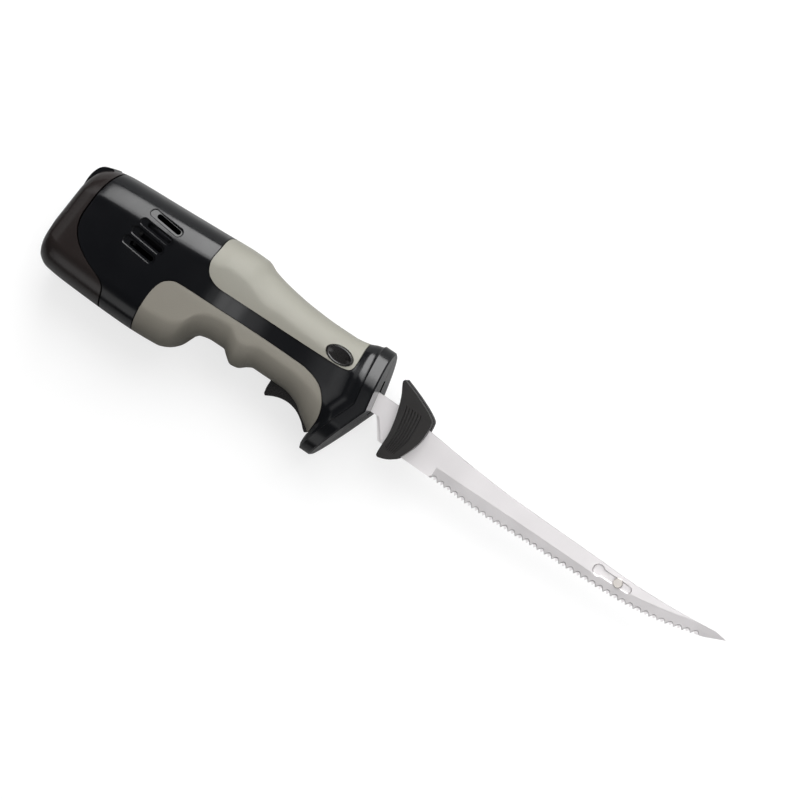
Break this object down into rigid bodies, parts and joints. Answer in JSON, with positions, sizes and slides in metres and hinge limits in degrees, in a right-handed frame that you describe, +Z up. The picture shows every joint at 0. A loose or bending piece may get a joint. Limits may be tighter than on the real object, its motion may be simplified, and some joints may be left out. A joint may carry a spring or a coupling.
{
  "type": "cordless electric fillet knife",
  "caption": "Cordless electric fillet knife with a trigger in a soft two-part grip, a slide-off battery pack and a pair of toothed blades that stroke against each other.",
  "frame": {"origin": "middle of the bounding box's underside, with the knife lying on its left side", "axes": "+X along the knife towards the blade tip, +Y towards the thumb side and the blade's spine, +Z up, which is the knife's right side"},
  "size_m": [0.4152, 0.0728, 0.05],
  "materials": {
    "black_shell": "glossy black moulding",
    "pack_black": "satin brownish black",
    "soft_grey": "soft matte grey overmould",
    "matte_black": "matte black moulding",
    "blade_steel": "ground bright stainless steel",
    "plain_steel": "plain steel",
    "zinc": "dull zinc-plated or cast zinc surface",
    "brass": "plain brass",
    "acetal": "natural white engineering plastic",
    "cell_wrap": "blue shrink wrap over a steel cell",
    "board_green": "green circuit board",
    "magnet": "dark sintered magnet",
    "copper": "copper windings on a laminated iron core"
  },
  "bodies": {
    "handle": {"right_housing": "black_shell", "left_housing": "black_shell", "upper_grip_right": "soft_grey", "upper_grip_left": "soft_grey", "lower_grip_right": "soft_grey", "lower_grip_left": "soft_grey", "housing_screw_1": "plain_steel", "housing_screw_2": "plain_steel", "housing_screw_3": "plain_steel", "housing_screw_4": "plain_steel", "housing_screw_5": "plain_steel", "motor_can": "zinc", "motor_endcap": "matte_black", "motor_magnet_upper": "magnet", "motor_magnet_lower": "magnet", "gear_frame": "zinc", "wheel_axle": "plain_steel", "slider_guide": "acetal", "trigger_pin": "plain_steel", "trigger_spring": "plain_steel", "switch_body": "matte_black", "body_plug": "matte_black"},
    "battery_pack": {"pack_shell": "pack_black", "cell_tray": "matte_black", "cell_right": "cell_wrap", "cell_left": "cell_wrap", "protection_board": "board_green", "pack_socket": "matte_black", "pack_cover": "matte_black", "charge_jack": "matte_black", "jack_pin": "brass", "latch_spring": "plain_steel"},
    "latch": {"pack_latch": "black_shell"},
    "rotor": {"motor_armature": "copper", "worm": "plain_steel"},
    "wheel": {"eccentric_wheel": "acetal"},
    "slider_right": {"driver_right": "acetal", "blade_clip_right": "plain_steel"},
    "slider_left": {"driver_left": "acetal", "blade_clip_left": "plain_steel"},
    "right_blade": {"blade_right": "blade_steel", "blade_guard_right": "matte_black"},
    "left_blade": {"blade_left": "blade_steel", "blade_guard_left": "matte_black", "blade_rivet": "plain_steel"},
    "trigger_lever": {"trigger": "matte_black"},
    "plunger": {"switch_plunger": "acetal"},
    "right_button": {"release_button_right": "matte_black"},
    "left_button": {"release_button_left": "matte_black"}
  },
  "joints": [
    {"name": "pack_slide", "type": "slide", "parent": "handle", "child": "battery_pack", "axis": [-1, 0, 0], "range_m": [0, 0.08]},
    {"name": "latch_press", "type": "slide", "parent": "battery_pack", "child": "latch", "axis": [0.7071, -0.7071, 0], "range_m": [0, 0.002], "stiffness_N_per_m": 900, "springref_m": -0.001, "deforming": ["latch_spring"]},
    {"name": "rotor_spin", "type": "hinge", "parent": "handle", "child": "rotor", "pos_m": [-0.1136, 0.0147, 0.025], "axis": [1, 0, 0], "range_deg": [-1800, 1800]},
    {"name": "wheel_turn", "type": "hinge", "parent": "handle", "child": "wheel", "pos_m": [-0.1136, 0.0002, 0.025], "axis": [0, 0, 1], "range_deg": [-90, 90]},
    {"name": "right_stroke", "type": "slide", "parent": "handle", "child": "slider_right", "axis": [1, 0, 0], "range_m": [-0.0027, 0.0027]},
    {"name": "left_stroke", "type": "slide", "parent": "handle", "child": "slider_left", "axis": [1, 0, 0], "range_m": [-0.0027, 0.0027]},
    {"name": "right_blade_pull", "type": "slide", "parent": "slider_right", "child": "right_blade", "axis": [1, 0, 0], "range_m": [0, 0.05]},
    {"name": "left_blade_pull", "type": "slide", "parent": "slider_left", "child": "left_blade", "axis": [1, 0, 0], "range_m": [0, 0.05]},
    {"name": "trigger_pull", "type": "hinge", "parent": "handle", "child": "trigger_lever", "pos_m": [-0.0386, -0.0178, 0.025], "axis": [0, 0, -1], "range_deg": [0, 6], "stiffness_Nm_per_rad": 0.3, "springref_deg": -2.86, "deforming": ["trigger_spring"]},
    {"name": "plunger_push", "type": "slide", "parent": "handle", "child": "plunger", "axis": [0, 1, 0], "range_m": [0, 0.0021]},
    {"name": "right_button_press", "type": "slide", "parent": "handle", "child": "right_button", "axis": [0, 0, -1], "range_m": [0, 0.0022], "stiffness_N_per_m": 700, "springref_m": -0.001, "deforming": ["blade_clip_right"]},
    {"name": "left_button_press", "type": "slide", "parent": "handle", "child": "left_button", "axis": [0, 0, 1], "range_m": [0, 0.0022], "stiffness_N_per_m": 700, "springref_m": -0.001, "deforming": ["blade_clip_left"]}
  ],
  "couplings": [
    {"joint": "wheel_turn", "follows": "rotor_spin", "ratio": 0.05},
    {"joint": "right_stroke", "follows": "rotor_spin", "m_per_rad": -0.000085935},
    {"joint": "left_stroke", "follows": "rotor_spin", "m_per_rad": 0.000085935},
    {"joint": "left_blade_pull", "follows": "right_blade_pull", "ratio": 1},
    {"joint": "plunger_push", "follows": "trigger_pull", "m_per_rad": 0.019}
  ]
}
